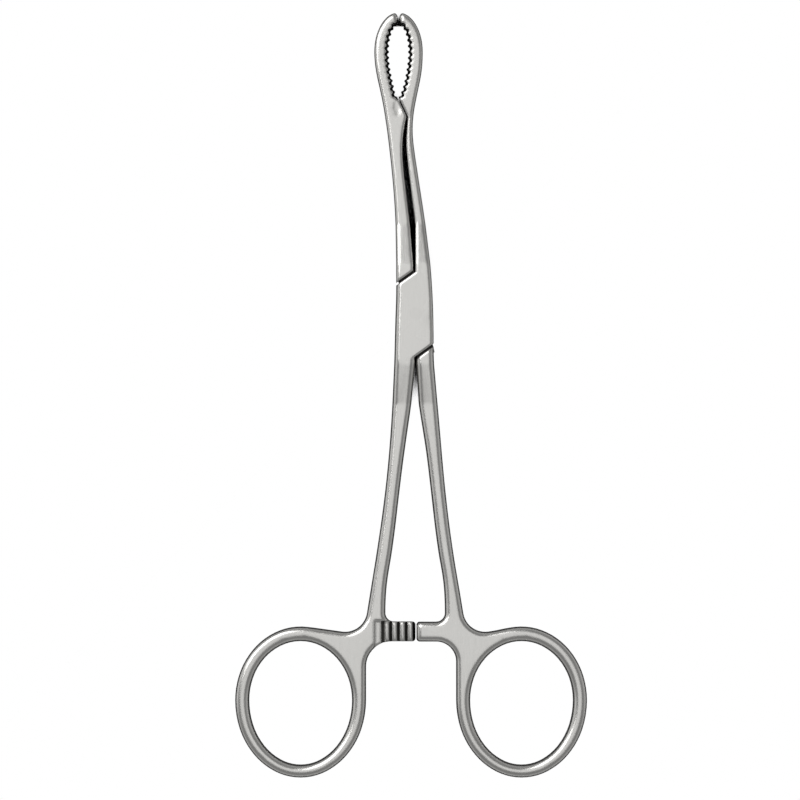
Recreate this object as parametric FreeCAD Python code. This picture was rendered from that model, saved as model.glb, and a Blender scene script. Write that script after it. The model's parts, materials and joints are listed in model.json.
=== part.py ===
import FreeCAD, Part
import math
import os

# Sponge forceps, 180 mm long, in millimetres.
# The origin is on the axis of the lock pin, in the plane of the lock's underside.
# +X is to the right and +Y towards the jaws, as seen from above the flat front, and +Z is up.
# The box half has the left finger ring, the box and the right jaw limb.
# The tongue half has the right finger ring, the tongue in the box and the left jaw limb.

# Travel of the hinge from the rest pose, in degrees, and what is left between the limbs when shut
CLOSE_ANGLE = 0.36
OPEN_ANGLE = 50.0
STOP_MARGIN = 0.3
SHUT_GAP = 0.04

# Lock
LOCK_THICKNESS = 5.6
LOCK_LENGTH = 24.0
RAMP_LENGTH = 9.0
LOCK_LEFT = 4.6
LOCK_RIGHT = 4.2
SHOULDER_DISTANCE = 8.37
SHOULDER_SLOPE = 35.5
SHOULDER_GAP = 0.6
TONGUE_THICKNESS = 2.3
TONGUE_WIDTH = 4.2
TONGUE_LEAN = 14.3
TONGUE_ROOT = 1.2
SLIDE_CLEARANCE = 0.05
SIDE_CLEARANCE = 0.06

# Lock pin
PIN_DIAMETER = 2.2
PIN_HEAD_DIAMETER = 3.0
PIN_HEAD_DEPTH = 0.5
PIN_CLEARANCE = 0.04

# Finger rings, placed from the pin
RING_SPREAD = 52.0
RING_SHIFT = 1.1
RING_DROP = 90.9
HOLE_WIDTH = 24.2
HOLE_ABOVE = 13.9
HOLE_BELOW = 15.2
WALL_SIDE = 3.3
WALL_ABOVE = 3.4
WALL_BELOW = 3.0

# Shanks
SHANK_THICKNESS = 3.6
LEFT_HEEL = 11.5
RIGHT_HEEL = 11.2
HEEL_WIDTH = 4.35
HEEL_RADIUS = 5.2
HEEL_DIP = 1.2
HEEL_TURN_IN = -9.0
HEEL_TURN_OUT = -98.0
RING_MEETS = 84.0
CROTCH_GAP = 0.3

# Ratchet bars
BAR_LIFT = 18.5
BAR_HEIGHT = 4.7
BAR_MEETING = 0.05
BAR_END_GAP = 0.2
BAR_FACE_GAP = 0.1
BAR_CORNER = 0.8
BAR_TOP_FILLET = 2.0
LEFT_WEB_RADIUS = 5.9
RIGHT_WEB_RADIUS = 4.7
TOOTH_COUNT = 4
TOOTH_PITCH = 1.84
TOOTH_HEIGHT = 0.65
TOOTH_BROW = 0.12
TOOTH_CREST = 0.3
RECESS_LENGTH = 2.3
RECESS_MARGIN = 0.25
RECESS_DROP = 2.0
GROOVE_WIDTH = 0.7
GROOVE_DEPTH = 0.65
TOOTH_END = 0.5

# Arms
ARM_GAP = 0.54
ARM_GAP_SHIFT = 0.07
ARM_THICKNESS = 3.2
GAP_TOP_HEIGHT = 46.4
GAP_TOP_PLACE = 2.0
GAP_TOP_LEAN = 0.15
GAP_TOP_SPREAD = 0.1

# Jaws
JAW_CENTRE = 4.06
JAW_HEIGHT = 61.65
JAW_WIDTH = 11.4
JAW_ABOVE = 9.25
TIP_CORNER = 0.9
WINDOW_WIDTH = 4.5
WINDOW_ABOVE = 6.3
WINDOW_BELOW = 10.6
WINDOW_POINT_SHIFT = 0.15
WINDOW_POINT_SPREAD = 0.55
NOTCH_COUNT = 13
NOTCH_DEPTH = 0.36
NOTCH_MOUTH = 1.7
NOTCH_ROOT = 0.4
WINDOW_SLOPE = 0.7
SLOPE_OVERRUN = 1.2
DIMPLE_WIDTH = 2.4
DIMPLE_LENGTH = 4.8
DIMPLE_DEPTH = 0.16
DIMPLE_SHIFT = 0.3
DIMPLE_DROP = 2.4

# Rounding of the long edges
SHANK_EDGE = 1.25
HOLE_EDGE = 1.4
ARM_EDGE = 0.85
LEFT_GAP_EDGE = 0.5
RIGHT_GAP_EDGE = 0.3

# Taper of the window below its middle: share of the way down, and share of its half width
WINDOW_TAPER = ((0.22, 0.94), (0.46, 0.78), (0.72, 0.52))

# Bows of the long edges: share of the way along the edge, and how far it lies to the right
# of a straight line between the edge's ends
LEFT_SHANK_OUTER = ((0.106, 0.53), (0.228, 1.12), (0.351, 1.55), (0.595, 1.79), (0.839, 0.88))
LEFT_SHANK_INNER = ((0.125, 0.42), (0.32, 0.16), (0.478, 0.0), (0.792, -0.21))
RIGHT_SHANK_OUTER = ((0.2, -0.56), (0.5, -0.98), (0.8, -0.70))
RIGHT_SHANK_INNER = ((0.125, -0.62), (0.32, -0.25), (0.478, -0.08), (0.792, 0.19))
LEFT_ARM_OUTER = ((0.143, 0.72), (0.36, 1.38), (0.534, 1.42), (0.689, 1.18), (0.828, 0.57))
LEFT_ARM_INNER = ((0.133, 0.0), (0.306, -0.33), (0.48, -0.81), (0.653, -1.22), (0.826, -1.22))
RIGHT_ARM_OUTER = (
    (0.103, 0.18), (0.219, 0.08), (0.356, -0.50), (0.493, -1.52),
    (0.631, -2.62), (0.72, -3.08), (0.809, -2.42), (0.892, -1.05),
)
RIGHT_ARM_INNER = ((0.134, 0.36), (0.307, 0.53), (0.48, 0.08), (0.654, -0.40), (0.827, -0.66))

# How closely the chains of arcs follow the curves, how close an edge lies to the outline that it
# is rounded with, and by what factor the parting is wider than the travel needs
ARC_FIT = 0.02
EDGE_MATCH = 0.02
PARTING_ALLOWANCE = 1.05

# Values that follow from those above
MIDDLE = LOCK_THICKNESS / 2
PIN_RADIUS = PIN_DIAMETER / 2
BAR_DROP = RING_DROP - BAR_LIFT
BAR_FLOOR = BAR_DROP + BAR_HEIGHT
RING_BOTTOM = RING_DROP + HOLE_BELOW + WALL_BELOW
JAW_TIP = JAW_HEIGHT + JAW_ABOVE
FAR = JAW_TIP + RING_BOTTOM
LEFT = -1
RIGHT = 1


def vec(x, y, z=0.0):
    return FreeCAD.Vector(x, y, z)


def aim(degrees, length=1.0):
    angle = math.radians(degrees)
    return vec(length * math.cos(angle), length * math.sin(angle))


def line(a, b):
    return Part.LineSegment(a, b).toShape()


def arcs_of(spline):
    """A flat curve as a chain of arcs that touch, so that walls and roundings stay simple."""
    return [piece.toShape() for piece in spline.toBiArcs(ARC_FIT)]


def curve(points, start, end):
    """A smooth chain of arcs through the points, with its directions at both ends."""
    spline = Part.BSplineCurve()
    spline.interpolate(Points=points, InitialTangent=start, FinalTangent=end)
    return arcs_of(spline)


def bowed(a, b, bows, start, end):
    """A long edge from a to b that leaves the straight line by the given bows."""
    points = [a]
    for share, offset in bows:
        points.append(a + (b - a) * share + vec(offset, 0))
    points.append(b)
    return curve(points, start, end)


def arc(centre, radius, first, last):
    """An arc from one angle to another, through the angle half way between them."""
    ends = [centre + aim(a, radius) for a in (first, (first + last) / 2, last)]
    return Part.Arc(ends[0], ends[1], ends[2]).toShape()


def oval_point(centre, half_width, half_height, degrees):
    angle = math.radians(degrees)
    return centre + vec(half_width * math.cos(angle), half_height * math.sin(angle))


def oval_aim(half_width, half_height, degrees):
    """The direction of travel on an oval, counter-clockwise."""
    angle = math.radians(degrees)
    return vec(-half_width * math.sin(angle), half_height * math.cos(angle)).normalize()


def oval(centre, half_width, half_height, first, last):
    """A stretch of an oval between two angles, counted from +X on the circle that it comes from."""
    stretch = FreeCAD.Matrix()
    stretch.scale(1, half_height / half_width, 1)
    stretch.move(centre)
    edge = arc(vec(0, 0), half_width, first, last).transformGeometry(stretch).Edges[0]
    return arcs_of(edge.Curve)


def plate(edges, low, high):
    """A flat plate between two heights, on a closed outline."""
    wire = Part.Wire(Part.__sortEdges__(edges))
    solid = Part.Face(wire).extrude(vec(0, 0, high - low))
    solid.translate(vec(0, 0, low))
    return solid


def polygon(points, low, high):
    return plate([line(points[i - 1], points[i]) for i in range(len(points))], low, high)


def shoulder_point(x, distance):
    """The point at x on the shoulder line that lies this far from the pin's axis."""
    slope = math.radians(SHOULDER_SLOPE)
    return vec(x, (distance + x * math.sin(slope)) / math.cos(slope))


def closing_gap(height):
    """The gap between the halves at a height that leaves SHUT_GAP when they are shut."""
    return SHUT_GAP + math.radians(CLOSE_ANGLE) * height


def ring_centre(side):
    return vec(side * RING_SPREAD / 2 - RING_SHIFT, -RING_DROP)


def side_angle(side, degrees):
    """An angle written for the left half, turned over for the right half."""
    return degrees if side == LEFT else 180 - degrees


def bar_end(side):
    """Where each ratchet bar ends. In the rest pose the bars only just pass each other."""
    return side * BAR_END_GAP / 2 + BAR_MEETING


def handle(side, outer_top, outer_bow, inner_top, inner_bow):
    """The outline of one handle: its outer edge, the ring, the ratchet bar and its inner edge."""
    centre = ring_centre(side)
    half_width = HOLE_WIDTH / 2 + WALL_SIDE
    above = HOLE_ABOVE + WALL_ABOVE
    below = HOLE_BELOW + WALL_BELOW
    heel_place = LEFT_HEEL if side == LEFT else RIGHT_HEEL
    web = LEFT_WEB_RADIUS if side == LEFT else RIGHT_WEB_RADIUS
    bar_tip = bar_end(side)

    # heel, where the shank turns out towards the top of the ring
    heel_low = centre.y + above - HEEL_DIP
    heel_centre = vec(side * (heel_place + aim(HEEL_TURN_IN, HEEL_RADIUS).x), 0)
    heel_centre.y = heel_low - aim(HEEL_TURN_OUT, HEEL_RADIUS).y
    turn_in = side_angle(side, HEEL_TURN_IN)
    turn_out = side_angle(side, HEEL_TURN_OUT)
    heel = arc(heel_centre, HEEL_RADIUS, turn_in, turn_out)
    heel_start = heel_centre + aim(turn_in, HEEL_RADIUS)
    heel_end = heel_centre + aim(turn_out, HEEL_RADIUS)
    way_down = aim(side_angle(side, HEEL_TURN_IN - 90))
    way_out = aim(side_angle(side, HEEL_TURN_OUT - 90))
    meets = side_angle(side, RING_MEETS)
    crest = oval_point(centre, half_width, above, meets)
    crest_way = oval_aim(half_width, above, meets) * -side
    shank_outer = bowed(outer_top, heel_start, outer_bow, vec(0, -1), way_down)
    slope = curve([heel_end, crest], way_out, crest_way)

    # ring, whose lower half is longer than its upper half
    if side == LEFT:
        upper = oval(centre, half_width, above, meets, 180)
        lower = oval(centre, half_width, below, 180, 360)
    else:
        upper = oval(centre, half_width, above, meets, 0)
        lower = oval(centre, half_width, below, 0, -180)
    inside = centre + vec(-side * half_width, 0)

    # ratchet bar, with its web to the ring and its fillet to the shank
    web_centre = vec(inside.x - side * web, -BAR_FLOOR - web)
    web_start = vec(inside.x, web_centre.y)
    web_end = vec(web_centre.x, -BAR_FLOOR)
    web_arc = arc(web_centre, web, side_angle(side, 180), side_angle(side, 90))
    root = vec(side * (heel_place - HEEL_WIDTH), -BAR_DROP + BAR_TOP_FILLET)
    top_centre = vec(root.x - side * BAR_TOP_FILLET, root.y)
    top_arc = arc(top_centre, BAR_TOP_FILLET, side_angle(side, 180), side_angle(side, 270))
    top_start = vec(top_centre.x, -BAR_DROP)
    corner = bar_tip + side * BAR_CORNER
    low_corner = vec(corner, -BAR_FLOOR + BAR_CORNER)
    high_corner = vec(corner, -BAR_DROP - BAR_CORNER)
    bar = [
        line(web_end, vec(corner, -BAR_FLOOR)),
        arc(low_corner, BAR_CORNER, side_angle(side, -90), side_angle(side, 0)),
        line(vec(bar_tip, low_corner.y), vec(bar_tip, high_corner.y)),
        arc(high_corner, BAR_CORNER, side_angle(side, 0), side_angle(side, 90)),
        line(vec(corner, -BAR_DROP), top_start),
    ]
    shank_inner = bowed(inner_top, root, inner_bow, vec(0, -1), vec(0, -1))
    ring = slope + upper + lower + [line(inside, web_start), web_arc]
    return shank_outer + [heel] + ring + bar + [top_arc] + shank_inner


def window_edge(side):
    """One side of the jaw window: its upper oval and the run down to its pointed bottom."""
    centre = vec(-JAW_CENTRE, JAW_HEIGHT)
    half = WINDOW_WIDTH / 2
    tip_gap = closing_gap(JAW_TIP) / 2
    first = math.degrees(math.acos(side * tip_gap / half))
    last = 90 - side * 90
    upper = oval(centre, half, WINDOW_ABOVE, first, last)
    bottom = window_bottom(side)
    middle = centre + vec(side * half, 0)
    points = [middle]
    for share, width in WINDOW_TAPER:
        points.append(centre + vec(side * half * width, -WINDOW_BELOW * share))
    points.append(bottom)
    lower = curve(points, vec(0, -1), vec(-side * WINDOW_POINT_SPREAD, -1).normalize())
    return upper, lower


def window_bottom(side):
    height = JAW_HEIGHT - WINDOW_BELOW
    gap = closing_gap(height * PARTING_ALLOWANCE)
    return vec(-JAW_CENTRE - WINDOW_POINT_SHIFT + side * gap / 2, height)


def gap_top(side):
    gap = closing_gap(GAP_TOP_HEIGHT * PARTING_ALLOWANCE)
    return vec(-GAP_TOP_PLACE + side * gap / 2, GAP_TOP_HEIGHT)


def jaw(side, outer_bottom, outer_bow, inner_bottom, inner_bow):
    """The outline of one arm and its jaw limb, in three parts: the outer edge up to the tip, then
    the slit, the window and the parting below it, then the gap between the arms."""
    centre = vec(-JAW_CENTRE, JAW_HEIGHT)
    half = JAW_WIDTH / 2
    tip_x = -JAW_CENTRE + side * closing_gap(JAW_TIP) / 2
    corner_angle = math.degrees(math.acos(side * (TIP_CORNER + closing_gap(JAW_TIP) / 2) / half))
    corner = oval_point(centre, half, JAW_ABOVE, corner_angle)
    corner_way = oval_aim(half, JAW_ABOVE, corner_angle) * side
    widest = centre + vec(side * half, 0)
    shoulder = vec(tip_x, corner.y - TIP_CORNER)
    upper, lower = window_edge(side)
    crest = upper[0].valueAt(upper[0].FirstParameter)
    outer = bowed(outer_bottom, widest, outer_bow, vec(0, 1), vec(0, 1))
    outer += oval(centre, half, JAW_ABOVE, 90 - side * 90, corner_angle)
    outer += curve([corner, shoulder], corner_way, vec(0, -1))
    parting = line(window_bottom(side), gap_top(side))
    lean = vec(GAP_TOP_LEAN - side * GAP_TOP_SPREAD, 1).normalize()
    inner = bowed(inner_bottom, gap_top(side), inner_bow, vec(0, 1), lean)
    return outer, [line(shoulder, crest)] + upper + lower + [parting], inner


def blank(edges, thickness, hole=None):
    """A flat plate on a plan outline, half of it above and half below the middle plane."""
    low = MIDDLE - thickness / 2
    solid = plate(edges, low, low + thickness)
    if hole is not None:
        solid = solid.cut(plate(hole, low - 1, low + thickness + 1))
    return solid


def between(solid, low, high):
    """What lies between two distances along the forceps."""
    return solid.common(Part.makeBox(2 * FAR, high - low, 2 * FAR, vec(-FAR, low, -FAR)))


def ramp(thick, thin, end):
    """The run from the thick lock down to a thinner limb, on the side of the lock that end gives."""
    sections = [
        thick.slice(vec(0, 1, 0), end * LOCK_LENGTH / 2)[0],
        thin.slice(vec(0, 1, 0), end * (LOCK_LENGTH / 2 + RAMP_LENGTH))[0],
    ]
    return Part.makeLoft(sections, True, True)


def joined(low, lock, high):
    """One half from its plates: the handle, the lock and the arm, with a ramp on either side."""
    half_lock = LOCK_LENGTH / 2
    run = half_lock + RAMP_LENGTH
    middle = between(lock, -half_lock, half_lock)
    handle_part = between(low, -FAR, -run)
    arm_part = between(high, run, FAR)
    return middle.fuse([ramp(lock, low, -1), ramp(lock, high, 1), handle_part, arm_part])


def ring_hole(side):
    centre = ring_centre(side)
    half = HOLE_WIDTH / 2
    return oval(centre, half, HOLE_ABOVE, 0, 180) + oval(centre, half, HOLE_BELOW, 180, 360)


def level_edges(solid):
    """The edges of a solid that don't climb from one face to the other."""
    chosen = []
    for edge in solid.Edges:
        first, last = edge.ParameterRange
        heights = [edge.valueAt(first + (last - first) * share).z for share in (0.1, 0.5, 0.9)]
        if max(heights) - min(heights) < LOCK_THICKNESS / 10:
            chosen.append(edge)
    return chosen


def follows(edge, plan):
    """Whether an edge lies above or below the given plan edges."""
    first, last = edge.ParameterRange
    points = [edge.valueAt(first + (last - first) * share) for share in (0.2, 0.5, 0.8)]
    return all(plan.distToShape(Part.Vertex(p.x, p.y, 0))[0] < EDGE_MATCH for p in points)


def rounded(solid, plan_edges, radius):
    """Rounds the upper and lower edges of a solid that follow the given plan edges."""
    plan = Part.Compound(plan_edges)
    return solid.makeFillet(radius, [e for e in level_edges(solid) if follows(e, plan)])


def crossing(angle, distance, other_angle, other_distance):
    """Where two lines cross, each given by the angle of its normal and its distance."""
    a, b = math.radians(angle), math.radians(other_angle)
    spread = math.sin(b - a)
    x = (distance * math.sin(b) - other_distance * math.sin(a)) / spread
    y = (other_distance * math.cos(a) - distance * math.cos(b)) / spread
    return vec(x, y)


def slot():
    """The room that the tongue sweeps between the cheeks, from shut to fully open."""
    reach = TONGUE_WIDTH / 2 + SIDE_CLEARANCE
    shut = TONGUE_LEAN - CLOSE_ANGLE
    open_stop = TONGUE_LEAN + OPEN_ANGLE + STOP_MARGIN
    low = MIDDLE - TONGUE_THICKNESS / 2 - SLIDE_CLEARANCE
    high = MIDDLE + TONGUE_THICKNESS / 2 + SLIDE_CLEARANCE
    room = Part.makeBox(2 * FAR, 2 * FAR, high - low, vec(-FAR, -FAR, low))
    for way in (0, 180):
        point = crossing(shut + way, reach, open_stop + way, reach)
        corners = [
            point,
            point + aim(open_stop + way - 90, FAR),
            point + aim((shut + open_stop) / 2 + way, 2 * FAR),
            point + aim(shut + way + 90, FAR),
        ]
        room = room.cut(polygon(corners, low - 1, high + 1))
    return room


def tongue():
    """The flat tongue that joins the left arm to the right shank through the slot."""
    half = TONGUE_WIDTH / 2
    shoulder = SHOULDER_DISTANCE + SHOULDER_GAP / 2 + TONGUE_ROOT
    across = SHOULDER_SLOPE + 90
    corners = [
        crossing(TONGUE_LEAN, half, across, shoulder),
        crossing(TONGUE_LEAN, -half, across, shoulder),
        crossing(TONGUE_LEAN, -half, across, -shoulder),
        crossing(TONGUE_LEAN, half, across, -shoulder),
    ]
    strip = polygon(corners, MIDDLE - TONGUE_THICKNESS / 2, MIDDLE + TONGUE_THICKNESS / 2)
    return strip.cut(Part.makeCylinder(PIN_RADIUS + PIN_CLEARANCE, LOCK_THICKNESS))


def lock_pin():
    """The pin, spread into a shallow cone at both ends and ground flush with the cheeks."""
    head = PIN_HEAD_DIAMETER / 2
    pin = Part.makeCylinder(PIN_RADIUS, LOCK_THICKNESS)
    lower = Part.makeCone(head, PIN_RADIUS, PIN_HEAD_DEPTH)
    upper = Part.makeCone(PIN_RADIUS, head, PIN_HEAD_DEPTH, vec(0, 0, LOCK_THICKNESS - PIN_HEAD_DEPTH))
    return pin.fuse([lower, upper]).removeSplitter()


def ratchet_relief(side):
    """What is taken off the side of a ratchet bar that faces the other bar: a recess, a groove
    beside the outermost tooth, and the teeth."""
    face = MIDDLE - BAR_FACE_GAP / 2
    end = side * bar_end(side)
    length = TOOTH_COUNT * TOOTH_PITCH
    depth = BAR_HEIGHT + RECESS_MARGIN + RECESS_DROP
    low = -BAR_FLOOR - RECESS_DROP
    start = end + length + RECESS_LENGTH
    relief = Part.makeBox(start + TOOTH_PITCH, depth, LOCK_THICKNESS, vec(-start, low, face))
    cutters = []
    for i in range(TOOTH_COUNT):
        right = -end - i * TOOTH_PITCH
        left = right - TOOTH_PITCH
        foot = vec(right, low, face - TOOTH_HEIGHT)
        brow = vec(left, low, face - TOOTH_BROW)
        swell = vec(left + TOOTH_CREST * TOOTH_PITCH, low, face)
        above = [vec(left, low, face + 1), vec(right, low, face + 1)]
        edges = [Part.Arc(brow, swell, foot).toShape(), line(foot, above[1])]
        edges += [line(above[1], above[0]), line(above[0], brow)]
        cutters.append(Part.Face(Part.Wire(edges)).extrude(vec(0, depth, 0)))
    for wall, inwards in ((-BAR_DROP, -1), (-BAR_FLOOR, 1)):
        corner = min(wall, wall + inwards * TOOTH_END)
        strip = Part.makeBox(length, TOOTH_END, LOCK_THICKNESS, vec(-end - length, corner, face - TOOTH_END))
        axis = vec(-end - length, wall + inwards * TOOTH_END, face - TOOTH_END)
        cutters.append(strip.cut(Part.makeCylinder(TOOTH_END, length, axis, vec(1, 0, 0))))
    groove = vec(-end - length - GROOVE_WIDTH, low, face - GROOVE_DEPTH)
    cutters.append(Part.makeBox(GROOVE_WIDTH, depth, LOCK_THICKNESS, groove))
    relief = relief.fuse(cutters)
    if side == RIGHT:
        relief.rotate(vec(0, 0, MIDDLE), vec(0, 1, 0), 180)
    return relief


def notches(side):
    """The row of notches along one side of the jaw window, which leaves the teeth. Their roots
    lean back with the window's wall, above and below the middle plane."""
    upper, lower = window_edge(side)
    edge = Part.Wire(upper + lower)
    stations = edge.discretize(Number=2 * NOTCH_COUNT + 1)
    rise = ARM_THICKNESS / 2
    cutters = []
    for i in range(1, 2 * NOTCH_COUNT, 2):
        along = (stations[i + 1] - stations[i - 1]).normalize()
        into = vec(along.y, -along.x) * -side
        root = stations[i] + into * NOTCH_DEPTH
        outside = stations[i] - into * NOTCH_DEPTH
        corners = [
            outside - along * (NOTCH_MOUTH / 2),
            outside + along * (NOTCH_MOUTH / 2),
            root + along * (NOTCH_ROOT / 2),
            root - along * (NOTCH_ROOT / 2),
        ]
        corners = [c + vec(0, 0, MIDDLE) for c in corners]
        outline = Part.Face(Part.Wire([line(corners[k - 1], corners[k]) for k in range(4)]))
        for way in (1, -1):
            lean = (into * WINDOW_SLOPE + vec(0, 0, way * rise)) * SLOPE_OVERRUN
            cutters.append(outline.extrude(lean))
    return cutters


def window_slopes():
    """The room by which the window's wall leans back, above and below the middle plane."""
    outline = []
    for side in (LEFT, RIGHT):
        upper, lower = window_edge(side)
        outline += upper + lower
    left, right = window_edge(LEFT)[0][0], window_edge(RIGHT)[0][0]
    outline.append(line(left.valueAt(left.FirstParameter), right.valueAt(right.FirstParameter)))
    outline.append(line(window_bottom(LEFT), window_bottom(RIGHT)))
    middle = vec(-JAW_CENTRE, JAW_HEIGHT + (WINDOW_ABOVE - WINDOW_BELOW) / 2)
    reach = SLOPE_OVERRUN * WINDOW_SLOPE
    wider = 1 + 2 * reach / WINDOW_WIDTH
    longer = 1 + 2 * reach / (WINDOW_ABOVE + WINDOW_BELOW)
    near = Part.Wire(Part.__sortEdges__(outline))
    near.translate(vec(0, 0, MIDDLE))
    made = []
    for way in (1, -1):
        stretch = FreeCAD.Matrix()
        stretch.move(middle * -1)
        stretch.scale(wider, longer, 1)
        stretch.move(middle + vec(0, 0, way * SLOPE_OVERRUN * ARM_THICKNESS / 2))
        made.append(Part.makeLoft([near, near.transformGeometry(stretch)], True, True))
    return made


def dimples():
    """A shallow hollow below the window, in the front and in the back."""
    half = DIMPLE_WIDTH / 2
    radius = (half ** 2 + DIMPLE_DEPTH ** 2) / (2 * DIMPLE_DEPTH)
    height = JAW_HEIGHT - WINDOW_BELOW - DIMPLE_DROP
    made = []
    for way in (1, -1):
        centre = vec(0, 0, way * (radius - DIMPLE_DEPTH))
        stretch = FreeCAD.Matrix()
        stretch.scale(1, DIMPLE_LENGTH / DIMPLE_WIDTH, 1)
        hollow = Part.makeSphere(radius, centre).transformGeometry(stretch)
        hollow.translate(vec(-JAW_CENTRE - DIMPLE_SHIFT, height, MIDDLE + way * ARM_THICKNESS / 2))
        made.append(hollow)
    return made


def box_half(pin):
    """Left ring, shank and ratchet bar, the box of the lock, and the right arm and jaw limb."""
    shoulder = SHOULDER_DISTANCE - SHOULDER_GAP / 2
    left_top = shoulder_point(-LOCK_LEFT, shoulder)
    right_low = shoulder_point(LOCK_RIGHT, -shoulder)
    crotch = shoulder_point(-CROTCH_GAP / 2, -shoulder)
    fork = shoulder_point(-ARM_GAP_SHIFT, shoulder)
    shank = handle(LEFT, left_top, LEFT_SHANK_OUTER, crotch, LEFT_SHANK_INNER)
    outer, window, inner = jaw(RIGHT, right_low, RIGHT_ARM_OUTER, fork, RIGHT_ARM_INNER)
    hole = ring_hole(LEFT)
    edges = shank + outer + window + inner + [line(crotch, right_low), line(fork, left_top)]
    lock = rounded(blank(edges, LOCK_THICKNESS), inner, RIGHT_GAP_EDGE)
    lock = rounded(lock, outer, ARM_EDGE)
    lock = rounded(lock, shank, SHANK_EDGE)
    low = rounded(blank(edges, SHANK_THICKNESS, hole), hole, HOLE_EDGE)
    low = rounded(low, shank, SHANK_EDGE)
    high = rounded(blank(edges, ARM_THICKNESS), inner, RIGHT_GAP_EDGE)
    high = rounded(high, outer, ARM_EDGE)
    solid = joined(low, lock, high)
    details = window_slopes() + notches(RIGHT) + dimples()
    return solid.cut([slot(), pin, ratchet_relief(LEFT)] + details)


def tongue_half():
    """Right ring, shank and ratchet bar, the tongue, and the left arm and jaw limb."""
    shoulder = SHOULDER_DISTANCE + SHOULDER_GAP / 2
    left_low = shoulder_point(-LOCK_LEFT, shoulder)
    right_top = shoulder_point(LOCK_RIGHT, -shoulder)
    crotch = shoulder_point(CROTCH_GAP / 2, -shoulder)
    fork = shoulder_point(-ARM_GAP_SHIFT - ARM_GAP, shoulder)
    shank = handle(RIGHT, right_top, RIGHT_SHANK_OUTER, crotch, RIGHT_SHANK_INNER)
    outer, window, inner = jaw(LEFT, left_low, LEFT_ARM_OUTER, fork, LEFT_ARM_INNER)
    hole = ring_hole(RIGHT)
    low_edges = shank + [line(crotch, right_top)]
    high_edges = outer + window + inner + [line(fork, left_low)]
    lock_low = rounded(blank(low_edges, LOCK_THICKNESS), shank, SHANK_EDGE)
    lock_high = rounded(blank(high_edges, LOCK_THICKNESS), inner, LEFT_GAP_EDGE)
    lock_high = rounded(lock_high, outer, ARM_EDGE)
    low = rounded(blank(low_edges, SHANK_THICKNESS, hole), hole, HOLE_EDGE)
    low = rounded(low, shank, SHANK_EDGE)
    high = rounded(blank(high_edges, ARM_THICKNESS), inner, LEFT_GAP_EDGE)
    high = rounded(high, outer, ARM_EDGE)
    solid = joined(low, lock_low.fuse([lock_high, tongue()]), high)
    return solid.cut([ratchet_relief(RIGHT)] + window_slopes() + notches(LEFT) + dimples())


def main():
    os.makedirs("parts", exist_ok=True)
    pin = lock_pin()
    nodes = {"box_half": box_half(pin), "tongue_half": tongue_half(), "lock_pin": pin}
    for name, shape in nodes.items():
        solid = shape.Solids[0]
        box = solid.BoundBox
        print(name, "solids", len(shape.Solids), "valid", solid.isValid(), "volume", round(solid.Volume, 2))
        print("  from", round(box.XMin, 2), round(box.YMin, 2), round(box.ZMin, 2))
        print("  to", round(box.XMax, 2), round(box.YMax, 2), round(box.ZMax, 2))
        solid.exportStep(os.path.join("parts", name + ".step"))


if __name__ == "__main__":
    main()
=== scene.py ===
"""Looks, light and camera for a pair of sponge forceps of satin-polished stainless steel."""

import json
import math

import bpy
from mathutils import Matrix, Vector

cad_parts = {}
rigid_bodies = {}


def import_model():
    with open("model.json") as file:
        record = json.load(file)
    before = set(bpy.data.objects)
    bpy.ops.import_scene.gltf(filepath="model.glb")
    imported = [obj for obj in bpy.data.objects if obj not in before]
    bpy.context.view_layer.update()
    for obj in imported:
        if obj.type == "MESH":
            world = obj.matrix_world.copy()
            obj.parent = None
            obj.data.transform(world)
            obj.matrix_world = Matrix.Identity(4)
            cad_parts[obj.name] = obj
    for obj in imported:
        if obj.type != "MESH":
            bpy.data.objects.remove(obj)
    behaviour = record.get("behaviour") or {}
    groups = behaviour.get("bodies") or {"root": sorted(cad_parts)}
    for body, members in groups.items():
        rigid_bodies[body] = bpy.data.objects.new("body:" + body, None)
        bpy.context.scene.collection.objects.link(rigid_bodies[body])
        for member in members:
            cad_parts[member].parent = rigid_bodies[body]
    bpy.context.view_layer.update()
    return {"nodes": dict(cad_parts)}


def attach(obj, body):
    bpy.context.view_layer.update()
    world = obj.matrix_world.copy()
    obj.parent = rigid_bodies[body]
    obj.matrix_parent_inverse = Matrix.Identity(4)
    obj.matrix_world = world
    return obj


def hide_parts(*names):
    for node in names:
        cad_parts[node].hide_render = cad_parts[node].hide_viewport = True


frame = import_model()

bl_info = {
    "name": "Sponge Forceps",
    "version": (1, 0, 0),
    "blender": (4, 5, 0),
    "location": "View3D > Sidebar > Forceps",
    "description": "Finishes the steel of a pair of sponge forceps and sets up its stage",
    "category": "Object",
}

MM = 0.001

# Where the recesses are, in millimetres from the pin's axis, and the shoulders' slope in degrees
SHOULDER_SLOPE = 35.5
SHOULDER_NEAR = 8.07
SHOULDER_FAR = 8.67
SLOT_LOW = 1.6
SLOT_HIGH = 4.0
JAW_CENTRE = 4.06
JAW_HEIGHT = 61.65
WINDOW_HALF = 2.25
WINDOW_ABOVE = 6.3
WINDOW_BELOW = 10.6
WINDOW_END = 0.7
WINDOW_CURVE = 1.8
WALL_BACK = 1.3
TEETH_LENGTH = 8.2
TEETH_TOP = -72.3
TEETH_BOTTOM = -77.2
TEETH_MIDDLE = 2.8
TEETH_DEEP = 0.8
TEETH_FLOOR = 0.15
PLACE_TOLERANCE = 0.02

# What part of a face's normal tells that it faces along a line, lies level, or is a tooth's steep side
ALONG = 0.99
LEVEL = 0.9
STEEP = 0.3

# How the polishing marks are drawn out and how deep they look, how wide the worn patches are and what
# they count for beside the marks, and how far both change the roughness
MARK_STRETCH = 0.08
MARK_DEPTH = 0.02 * MM
WEAR_SIZE = 9 * MM
WEAR_SHARE = 0.6
NOISE_RANGE = (0.3, 1.3)
ROUGHNESS_SPREAD = 0.05

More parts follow.
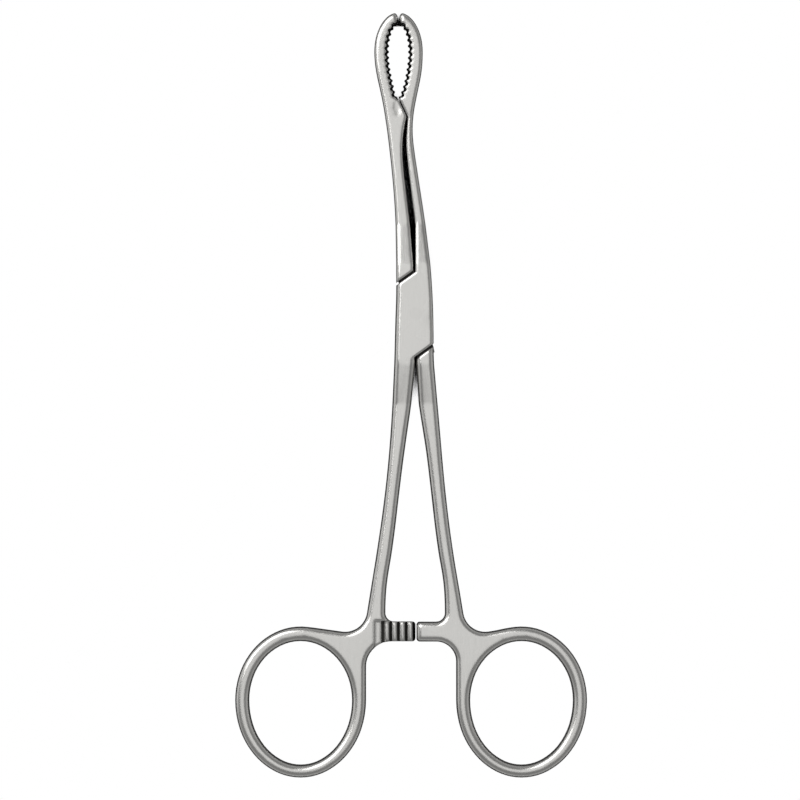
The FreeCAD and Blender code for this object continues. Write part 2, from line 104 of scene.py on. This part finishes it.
# How far round the pin's axis the flats stay flat, and from where their edges are fully crowned
PIN_CLEAR = 1.7 * MM
PIN_CROWNED = 2.75 * MM

# How near to each other the corners of neighbouring faces are when they are one
MERGE_DISTANCE = 0.0005 * MM

# Steps of the shadow in the gaps: from and to where along the forceps, in millimetres, and what the
# step adds, before and after it, to the openness that still looks black
GAP_SHADOW = ((8, 9, 0.15, 0.4), (47, 51, 0.0, -0.2), (67.6, 68.2, 0.0, 0.32))

# How much more open a place is when it looks white
SHADOW_EDGE = 0.05

# The mirrored board's brightness right under the steel, where 1 is white
MIRRORED_DARK = 0.04

# The floor and the nearest that the camera sees, in metres, and its sensor's width in millimetres
FLOOR_SIZE = 6.0
FLOOR_DROP = 0.02 * MM
SENSOR_WIDTH = 36.0
CLIP_START = 0.05

# Each softbox: its name, its place, width and height in metres, and the glow it takes from the stage
SOFTBOXES = (
    ("softbox overhead", (0.0, 0.0, 1.3), 0.66, 0.66, "overhead_glow"),
    ("softbox upper left", (-0.52, 0.48, 1.0), 0.8, 0.8, "key_glow"),
    ("softbox left", (-1.1, 0.2, 0.5), 1.0, 0.8, "left_glow"),
    ("softbox right", (1.1, 0.0, 0.6), 0.6, 0.8, "right_glow"),
)

# How high the walls' light reaches, where 1 is straight overhead
WALL_TOP = 0.7


class ForcepsSteel(bpy.types.PropertyGroup):
    """Finish of the steel, as a user would change it"""

    satin_colour: bpy.props.StringProperty(
        name="Satin colour", description="Colour of the satin-polished halves, as sRGB hex",
        default="D8D7D4")
    pin_colour: bpy.props.StringProperty(
        name="Pin colour", description="Colour of the ground end of the lock pin, as sRGB hex",
        default="D6D5D2")
    satin_roughness: bpy.props.FloatProperty(
        name="Satin roughness", description="Roughness of the polished faces", default=0.22,
        min=0.05, max=0.8)
    # The recess colour is painted shade inside the lock, on the jaw window's toothed wall and between
    # the ratchet's teeth
    recess_shade_colour: bpy.props.StringProperty(
        name="Recess painted shade", description="Colour inside the lock and between the teeth, as sRGB hex",
        default="3C3B39")
    recess_roughness: bpy.props.FloatProperty(
        name="Recess roughness", description="Roughness inside the lock and between the teeth",
        default=0.45, min=0.05, max=1.0)
    grain_width: bpy.props.FloatProperty(
        name="Grain width", description="Width of the polishing marks, drawn coarser than real",
        default=0.25 * MM, unit="LENGTH", min=0.05 * MM, max=2 * MM)
    wheel_softness: bpy.props.FloatProperty(
        name="Wheel softness", description="How far from an edge the polishing wheel bends the shine",
        default=1.0 * MM, unit="LENGTH", min=0.0, max=3 * MM)
    crease_angle: bpy.props.FloatProperty(
        name="Crease angle", description="Faces that meet at less than this look smooth",
        default=math.radians(24), subtype="ANGLE")


class ForcepsStage(bpy.types.PropertyGroup):
    """Camera, floor and lamps"""

    view_width: bpy.props.FloatProperty(
        name="View width", description="What the picture covers at the middle of the forceps",
        default=188.36 * MM, unit="LENGTH")
    view_centre: bpy.props.FloatVectorProperty(
        name="View centre", description="Point of the forceps in the middle of the picture",
        default=(-3.71 * MM, -20.25 * MM, 2.8 * MM), subtype="TRANSLATION")
    lens: bpy.props.FloatProperty(
        name="Lens", description="Focal length on a 36 mm wide sensor, in millimetres", default=200.0)
    floor_colour: bpy.props.StringProperty(
        name="Floor colour", description="Colour of the floor, as sRGB hex", default="FFFFFF")
    overhead_glow: bpy.props.FloatProperty(
        name="Overhead glow", description="Brightness of the softbox above, where 1 is white",
        default=0.66)
    key_glow: bpy.props.FloatProperty(
        name="Key glow", description="Brightness of the large softbox at the upper left",
        default=2.8)
    left_glow: bpy.props.FloatProperty(
        name="Left glow", description="Brightness of the low softbox on the left", default=0.35)
    right_glow: bpy.props.FloatProperty(
        name="Right glow", description="Brightness of the low softbox on the right", default=0.12)
    room_light: bpy.props.FloatProperty(
        name="Room light", description="Brightness of the room's ceiling", default=0.24)
    wall_light: bpy.props.FloatProperty(
        name="Wall light", description="Brightness of the room's walls", default=0.48)
    shadow_reach: bpy.props.FloatProperty(
        name="Contact shadow", description="How far round the steel its contact shadow reaches",
        default=6 * MM, unit="LENGTH")
    mirror_reach: bpy.props.FloatProperty(
        name="Mirrored shadow", description="How far off the mirrored board is white again",
        default=150 * MM, unit="LENGTH")


def linear(code):
    """An sRGB hex colour as linear red, green, blue and alpha."""
    parts = [int(code[i:i + 2], 16) / 255 for i in (0, 2, 4)]
    return [p / 12.92 if p <= 0.04045 else ((p + 0.055) / 1.055) ** 2.4 for p in parts] + [1.0]


def add_node(tree, kind, settings=None, values=None, links=None):
    """Adds a node with its settings, its socket values and its links from other sockets."""
    made = tree.nodes.new(kind)
    for name, value in (settings or {}).items():
        setattr(made, name, value)
    for socket, value in (values or {}).items():
        made.inputs[socket].default_value = value
    for socket, source in (links or {}).items():
        tree.links.new(source, made.inputs[socket])
    return made


def new_material(name):
    """An empty node material with its shader and output, ready for the rest."""
    material = bpy.data.materials.new(name)
    material.use_nodes = True
    tree = material.node_tree
    tree.nodes.clear()
    shader = add_node(tree, "ShaderNodeBsdfPrincipled")
    add_node(tree, "ShaderNodeOutputMaterial", links={"Surface": shader.outputs["BSDF"]})
    return material, tree, shader


def satin_stainless_steel(name, colour, roughness, grain_width, wheel_softness):
    """Forged stainless steel, bead-blasted and then satin-polished by hand along its length.

    It reflects like a soft mirror: pale warm-grey flats that the wheel has crowned a little
    towards their edges, grey rounded edges, and fine marks that spread the highlights. Round the
    lock pin the flats stay flat, because the pin is ground and polished in one with them.
    """
    material, tree, shader = new_material(name)
    shader.inputs["Base Color"].default_value = linear(colour)
    shader.inputs["Metallic"].default_value = 1.0
    place = add_node(tree, "ShaderNodeTexCoord")
    along = add_node(
        tree, "ShaderNodeMapping", values={"Scale": (1.0, MARK_STRETCH, 1.0)},
        links={"Vector": place.outputs["Object"]})
    marks = add_node(
        tree, "ShaderNodeTexNoise", values={"Scale": 1.0 / grain_width, "Detail": 2.0},
        links={"Vector": along.outputs["Vector"]})
    wear = add_node(
        tree, "ShaderNodeTexNoise", values={"Scale": 1.0 / WEAR_SIZE, "Detail": 3.0},
        links={"Vector": place.outputs["Object"]})
    both = add_node(
        tree, "ShaderNodeMath", settings={"operation": "MULTIPLY_ADD"},
        values={1: WEAR_SHARE}, links={0: wear.outputs["Fac"], 2: marks.outputs["Fac"]})
    spread = add_node(
        tree, "ShaderNodeMapRange",
        values={"From Min": NOISE_RANGE[0], "From Max": NOISE_RANGE[1],
                "To Min": roughness - ROUGHNESS_SPREAD, "To Max": roughness + ROUGHNESS_SPREAD},
        links={"Value": both.outputs["Value"]})
    tree.links.new(spread.outputs["Result"], shader.inputs["Roughness"])
    flat = add_node(
        tree, "ShaderNodeMapping", values={"Scale": (1.0, 1.0, 0.0)},
        links={"Vector": place.outputs["Object"]})
    off_pin = add_node(
        tree, "ShaderNodeVectorMath", settings={"operation": "LENGTH"},
        links={0: flat.outputs["Vector"]})
    crowned = add_node(
        tree, "ShaderNodeMapRange",
        values={"From Min": PIN_CLEAR, "From Max": PIN_CROWNED, "To Max": wheel_softness},
        links={"Value": off_pin.outputs["Value"]})
    crown = add_node(
        tree, "ShaderNodeBevel", settings={"samples": 8}, links={"Radius": crowned.outputs["Result"]})
    relief = add_node(
        tree, "ShaderNodeBump", values={"Strength": 0.05, "Distance": MARK_DEPTH},
        links={"Height": marks.outputs["Fac"], "Normal": crown.outputs["Normal"]})
    tree.links.new(relief.outputs["Normal"], shader.inputs["Normal"])
    return material


def machined_steel_with_painted_shade(colour, roughness):
    """Stainless steel as the cutter leaves it, in the lock and between the teeth.

    The polishing wheel doesn't reach there, which leaves it dull; its dark colour is painted shade for
    these recesses.
    """
    material, tree, shader = new_material("machined stainless steel")
    # Painted shade: the dark base colour stands for the shade in the lock, on the window's toothed wall
    # and between the teeth
    shader.inputs["Base Color"].default_value = linear(colour)
    shader.inputs["Metallic"].default_value = 1.0
    shader.inputs["Roughness"].default_value = roughness
    return material


def gap_shadow(tree):
    """How open a place on the board must be before it stops looking black, along the forceps.

    The shadow is deep between the arms and between the tips of the jaws, and faint elsewhere.
    """
    place = add_node(tree, "ShaderNodeNewGeometry")
    along = add_node(tree, "ShaderNodeSeparateXYZ", links={"Vector": place.outputs["Position"]})
    level = None
    for first, last, low, high in GAP_SHADOW:
        step = add_node(
            tree, "ShaderNodeMapRange",
            values={"From Min": first * MM, "From Max": last * MM, "To Min": low, "To Max": high},
            links={"Value": along.outputs["Y"]})
        if level is None:
            level = step.outputs["Result"]
        else:
            level = add_node(
                tree, "ShaderNodeMath", settings={"operation": "ADD"},
                links={0: level, 1: step.outputs["Result"]}).outputs["Value"]
    return level


def white_board(colour, shadow_reach, mirror_reach):
    """A matt white board under the forceps.

    The camera sees it evenly white, apart from the shadow in the narrow gaps between the limbs.
    The steel mirrors it white in the distance and dark close by, where it is in the steel's own
    shadow. Everything else is lit by it as by a matt white surface.
    """
    material, tree, shader = new_material("white board")
    shader.inputs["Base Color"].default_value = linear(colour)
    shader.inputs["Roughness"].default_value = 0.9
    shader.inputs["Specular IOR Level"].default_value = 0.1
    ray = add_node(tree, "ShaderNodeLightPath")
    seen = add_node(
        tree, "ShaderNodeMath", settings={"operation": "MAXIMUM"},
        links={0: ray.outputs["Is Camera Ray"], 1: ray.outputs["Is Transmission Ray"]})
    shown = add_node(
        tree, "ShaderNodeMath", settings={"operation": "MAXIMUM"},
        links={0: seen.outputs["Value"], 1: ray.outputs["Is Glossy Ray"]})
    shade = add_node(
        tree, "ShaderNodeAmbientOcclusion", settings={"samples": 32},
        values={"Distance": shadow_reach})
    level = gap_shadow(tree)
    white_level = add_node(
        tree, "ShaderNodeMath", settings={"operation": "ADD"}, values={1: SHADOW_EDGE}, links={0: level})
    thin = add_node(
        tree, "ShaderNodeMapRange",
        links={"Value": shade.outputs["AO"], "From Min": level,
               "From Max": white_level.outputs["Value"]})
    deep = add_node(
        tree, "ShaderNodeMapRange", settings={"interpolation_type": "SMOOTHSTEP"},
        values={"From Min": 0.0, "From Max": mirror_reach, "To Min": MIRRORED_DARK, "To Max": 1.0},
        links={"Value": ray.outputs["Ray Length"]})
    shadow = add_node(
        tree, "ShaderNodeMix",
        links={"Factor": ray.outputs["Is Glossy Ray"], "A": thin.outputs["Result"],
               "B": deep.outputs["Result"]})
    white = add_node(
        tree, "ShaderNodeEmission", values={"Color": linear(colour)},
        links={"Strength": shadow.outputs["Result"]})
    both = add_node(
        tree, "ShaderNodeMixShader",
        links={0: shown.outputs["Value"], 1: shader.outputs["BSDF"], 2: white.outputs["Emission"]})
    surface = [n for n in tree.nodes if n.bl_idname == "ShaderNodeOutputMaterial"][0]
    tree.links.new(both.outputs["Shader"], surface.inputs["Surface"])
    return material


def deselect_all():
    bpy.ops.object.select_all(action="DESELECT")


def smooth_copy(node_name, name, crease_angle):
    """A merged and smoothed copy of a CAD node, which then stands for it."""
    node = frame["nodes"][node_name]
    deselect_all()
    node.select_set(True)
    bpy.context.view_layer.objects.active = node
    bpy.ops.object.duplicate()
    copy = bpy.context.view_layer.objects.active
    if copy is node:
        raise RuntimeError("the copy of " + node_name + " wasn't made")
    copy.name = name
    body = copy.parent.name[len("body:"):]
    bpy.ops.object.parent_clear(type="CLEAR_KEEP_TRANSFORM")
    bpy.ops.object.mode_set(mode="EDIT")
    bpy.ops.mesh.select_all(action="SELECT")
    bpy.ops.mesh.remove_doubles(threshold=MERGE_DISTANCE)
    bpy.ops.object.mode_set(mode="OBJECT")
    bpy.ops.mesh.customdata_custom_splitnormals_clear()
    bpy.ops.object.shade_smooth_by_angle(angle=crease_angle)
    # The flats keep their own direction, and only the rounds between them bend the light
    bpy.ops.object.modifier_add(type="WEIGHTED_NORMAL")
    weights = copy.modifiers[-1]
    weights.keep_sharp = True
    bpy.ops.object.modifier_apply(modifier=weights.name)
    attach(copy, body)
    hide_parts(node_name)
    return copy


def paint(piece, material):
    """Gives a piece one material."""
    piece.data.materials.clear()
    piece.data.materials.append(material)


def in_the_lock(face, half):
    """Whether a face is inside the box lock, or is an end of the shoulder gaps."""
    x, y, z = (v / MM for v in face.center)
    slope = math.radians(SHOULDER_SLOPE)
    across = Vector((-math.sin(slope), math.cos(slope), 0))
    distance = abs(y * across.y + x * across.x)
    if half == "tongue_half":
        return distance < SHOULDER_FAR + PLACE_TOLERANCE
    if abs(distance - SHOULDER_NEAR) < PLACE_TOLERANCE and abs(face.normal.dot(across)) > ALONG:
        return True
    return distance < SHOULDER_NEAR and SLOT_LOW - PLACE_TOLERANCE < z < SLOT_HIGH + PLACE_TOLERANCE


def in_the_window(face):
    """Whether a face is on the toothed wall of the jaw window."""
    x, y, z = (v / MM for v in face.center)
    height = y - JAW_HEIGHT
    if abs(face.normal.z) > LEVEL or not -WINDOW_BELOW - WINDOW_END < height < WINDOW_ABOVE + WALL_BACK:
        return False
    above = min(1.0, max(0.0, height / WINDOW_ABOVE))
    below = min(1.0, max(0.0, -height / WINDOW_BELOW))
    share = math.sqrt(1 - above ** 2) if above else 1 - below ** WINDOW_CURVE
    return abs(x + JAW_CENTRE) < WINDOW_HALF * share + WALL_BACK


def between_the_teeth(face, half):
    """Whether a face is a steep side of a ratchet tooth, or the floor of the groove beside them."""
    x, y, z = (v / MM for v in face.center)
    side = -1 if half == "box_half" else 1
    depth = (z - TEETH_MIDDLE) * side
    if not (0 < x * side < TEETH_LENGTH and TEETH_BOTTOM < y < TEETH_TOP and 0 < depth < TEETH_DEEP):
        return False
    return face.normal.x * side < -STEEP or depth > TEETH_DEEP - TEETH_FLOOR


def paint_shade_in_recesses(piece, half, material):
    """Gives the faces that polishing doesn't reach the machined finish, whose dark colour is painted
    shade.
    """
    piece.data.materials.append(material)
    for face in piece.data.polygons:
        if in_the_lock(face, half) or in_the_window(face) or between_the_teeth(face, half):
            # These faces take the dark material, which is painted shade for the recesses
            face.material_index = 1


def finish_half(half, steel):
    """Finishes a forged half: satin all over, and machined, with painted shade, where polishing doesn't
    reach.
    """
    piece = smooth_copy(half, half + "_satin", steel.crease_angle)
    material = satin_stainless_steel(
        "satin stainless steel, " + half.replace("_", " "), steel.satin_colour,
        steel.satin_roughness, steel.grain_width, steel.wheel_softness)
    paint(piece, material)
    paint_shade_in_recesses(piece, half, machined_steel_with_painted_shade(steel.recess_shade_colour, steel.recess_roughness))


class FORCEPS_OT_box_half(bpy.types.Operator):
    """Finishes the half with the left ring and the box of the lock"""

    bl_idname = "forceps.box_half"
    bl_label = "Box half"

    def execute(self, context):
        finish_half("box_half", context.scene.forceps_steel)
        return {"FINISHED"}


class FORCEPS_OT_tongue_half(bpy.types.Operator):
    """Finishes the half with the right ring and the tongue of the lock"""

    bl_idname = "forceps.tongue_half"
    bl_label = "Tongue half"

    def execute(self, context):
        finish_half("tongue_half", context.scene.forceps_steel)
        return {"FINISHED"}


class FORCEPS_OT_lock_pin(bpy.types.Operator):
    """Finishes the lock pin, whose ends are ground flush with the lock"""

    bl_idname = "forceps.lock_pin"
    bl_label = "Lock pin"

    def execute(self, context):
        steel = context.scene.forceps_steel
        piece = smooth_copy("lock_pin", "lock_pin_ground", steel.crease_angle)
        material = satin_stainless_steel(
            "satin stainless steel, lock pin", steel.pin_colour, steel.satin_roughness,
            steel.grain_width, steel.wheel_softness)
        paint(piece, material)
        return {"FINISHED"}


def add_softbox(name, place, target, width, height, glow):
    """A rectangular soft lamp that faces the target and glows evenly."""
    bpy.ops.object.light_add(type="AREA", location=place)
    lamp = bpy.context.object
    lamp.name = name
    lamp.data.shape = "RECTANGLE"
    lamp.data.size = width
    lamp.data.size_y = height
    lamp.data.energy = glow * math.pi * width * height
    lamp.rotation_euler = (Vector(target) - Vector(place)).to_track_quat("-Z", "Y").to_euler()


def grey_room(ceiling, walls):
    """The room around the table, whose walls are lighter than its ceiling."""
    world = bpy.data.worlds.new("grey room")
    world.use_nodes = True
    tree = world.node_tree
    way = add_node(tree, "ShaderNodeTexCoord")
    up = add_node(tree, "ShaderNodeSeparateXYZ", links={"Vector": way.outputs["Generated"]})
    shade = add_node(
        tree, "ShaderNodeMapRange", settings={"interpolation_type": "SMOOTHSTEP"},
        values={"From Min": 0.0, "From Max": WALL_TOP, "To Min": walls, "To Max": ceiling},
        links={"Value": up.outputs["Z"]})
    tree.links.new(shade.outputs["Result"], tree.nodes["Background"].inputs["Strength"])
    tree.nodes["Background"].inputs["Color"].default_value = linear("FFFFFF")
    return world


class FORCEPS_OT_stage(bpy.types.Operator):
    """Adds the pale floor, the soft lamps, the grey room and the camera"""

    bl_idname = "forceps.stage"
    bl_label = "Stage"

    def execute(self, context):
        stage = context.scene.forceps_stage
        deselect_all()
        centre = Vector(stage.view_centre)

        bpy.ops.mesh.primitive_plane_add(size=FLOOR_SIZE, location=(0, 0, -FLOOR_DROP))
        floor = context.object
        floor.name = "floor"
        floor.data.materials.append(white_board(
            stage.floor_colour, stage.shadow_reach, stage.mirror_reach))

        for name, place, width, height, glow in SOFTBOXES:
            add_softbox(name, place, centre, width, height, getattr(stage, glow))
        context.scene.world = grey_room(stage.room_light, stage.wall_light)

        distance = stage.view_width * stage.lens / SENSOR_WIDTH
        bpy.ops.object.camera_add(location=centre + Vector((0, 0, distance)), rotation=(0, 0, 0))
        camera = context.object
        camera.name = "camera"
        camera.data.lens = stage.lens
        camera.data.sensor_width = SENSOR_WIDTH
        camera.data.clip_start = CLIP_START
        context.scene.camera = camera
        context.scene.view_settings.view_transform = "Standard"
        return {"FINISHED"}


class FORCEPS_PT_panel(bpy.types.Panel):
    """Lists the steps in the sidebar"""

    bl_label = "Sponge forceps"
    bl_space_type = "VIEW_3D"
    bl_region_type = "UI"
    bl_category = "Forceps"

    def draw(self, context):
        layout = self.layout
        steel = context.scene.forceps_steel
        for name in ("satin_colour", "pin_colour", "satin_roughness", "grain_width", "wheel_softness"):
            layout.prop(steel, name)
        for step in STEPS:
            layout.operator(step.bl_idname)


STEPS = (FORCEPS_OT_box_half, FORCEPS_OT_tongue_half, FORCEPS_OT_lock_pin, FORCEPS_OT_stage)
CLASSES = (ForcepsSteel, ForcepsStage) + STEPS + (FORCEPS_PT_panel,)


def register():
    for cls in CLASSES:
        bpy.utils.register_class(cls)
    bpy.types.Scene.forceps_steel = bpy.props.PointerProperty(type=ForcepsSteel)
    bpy.types.Scene.forceps_stage = bpy.props.PointerProperty(type=ForcepsStage)


def unregister():
    del bpy.types.Scene.forceps_stage
    del bpy.types.Scene.forceps_steel
    for cls in reversed(CLASSES):
        bpy.utils.unregister_class(cls)


def main():
    register()
    bpy.ops.forceps.box_half()
    bpy.ops.forceps.tongue_half()
    bpy.ops.forceps.lock_pin()
    bpy.ops.forceps.stage()
    deselect_all()


if __name__ == "__main__":
    main()
